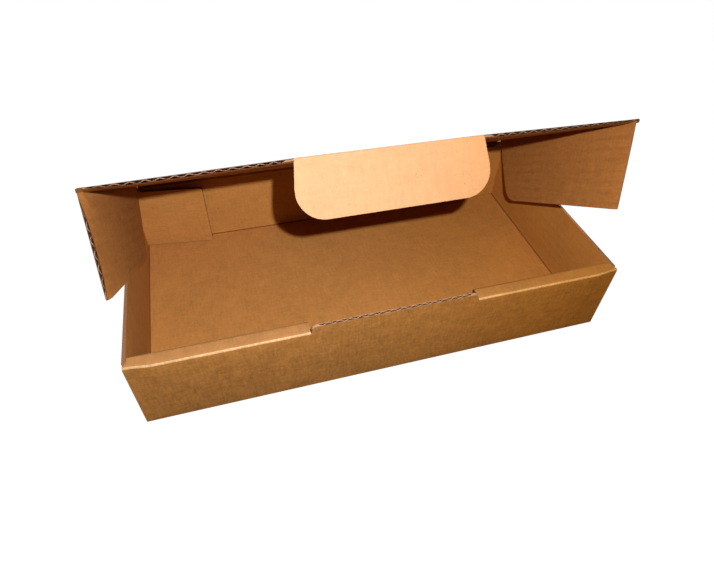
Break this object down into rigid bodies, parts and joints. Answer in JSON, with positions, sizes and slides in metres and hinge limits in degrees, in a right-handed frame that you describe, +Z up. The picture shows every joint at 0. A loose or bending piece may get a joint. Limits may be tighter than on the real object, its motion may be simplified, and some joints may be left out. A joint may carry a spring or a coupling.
{
  "type": "corrugated mailer box",
  "caption": "Open die-cut corrugated mailer box: a shallow tray with a rolled double front wall, side walls with rear flaps, and a hinged lid with folded wings and a tuck tab.",
  "frame": {"origin": "centre of the tray's underside", "axes": "+X to the right seen from the front, +Y to the rear wall, +Z up"},
  "size_m": [0.312, 0.168, 0.1508],
  "materials": {
    "kraft_board": "matt unprinted kraft liner"
  },
  "bodies": {
    "tray": {"tray": "kraft_board"},
    "lid": {"lid": "kraft_board"},
    "lid_wing_left": {"lid_wing_left": "kraft_board"},
    "lid_wing_right": {"lid_wing_right": "kraft_board"},
    "tuck_tab": {"tuck_tab": "kraft_board"},
    "rear_flap_left": {"rear_flap_left": "kraft_board"},
    "rear_flap_right": {"rear_flap_right": "kraft_board"}
  },
  "joints": [
    {"name": "lid_hinge", "type": "hinge", "parent": "tray", "child": "lid", "pos_m": [0, 0.084, 0.0589], "axis": [-1, 0, 0], "range_deg": [-15.2, 146.3]},
    {"name": "left_wing_fold", "type": "hinge", "parent": "lid", "child": "lid_wing_left", "pos_m": [-0.1481, 0.08284, 0.05715], "axis": [0, -0.832, 0.5548], "range_deg": [-3.5, 43.5]},
    {"name": "right_wing_fold", "type": "hinge", "parent": "lid", "child": "lid_wing_right", "pos_m": [0.1481, 0.08284, 0.05715], "axis": [0, 0.832, -0.5548], "range_deg": [-18.5, 28.5]},
    {"name": "tuck_tab_fold", "type": "hinge", "parent": "lid", "child": "tuck_tab", "pos_m": [0, -0.05373, 0.15075], "axis": [-1, 0, 0], "range_deg": [0, 90]},
    {"name": "left_rear_flap_fold", "type": "hinge", "parent": "tray", "child": "rear_flap_left", "pos_m": [-0.1539, 0.07945, 0.02825], "axis": [0, 0, -1], "range_deg": [-6.7, 43.3]},
    {"name": "right_rear_flap_fold", "type": "hinge", "parent": "tray", "child": "rear_flap_right", "pos_m": [0.1539, 0.07945, 0.02825], "axis": [0, 0, 1], "range_deg": [-4.5, 45.5]}
  ]
}
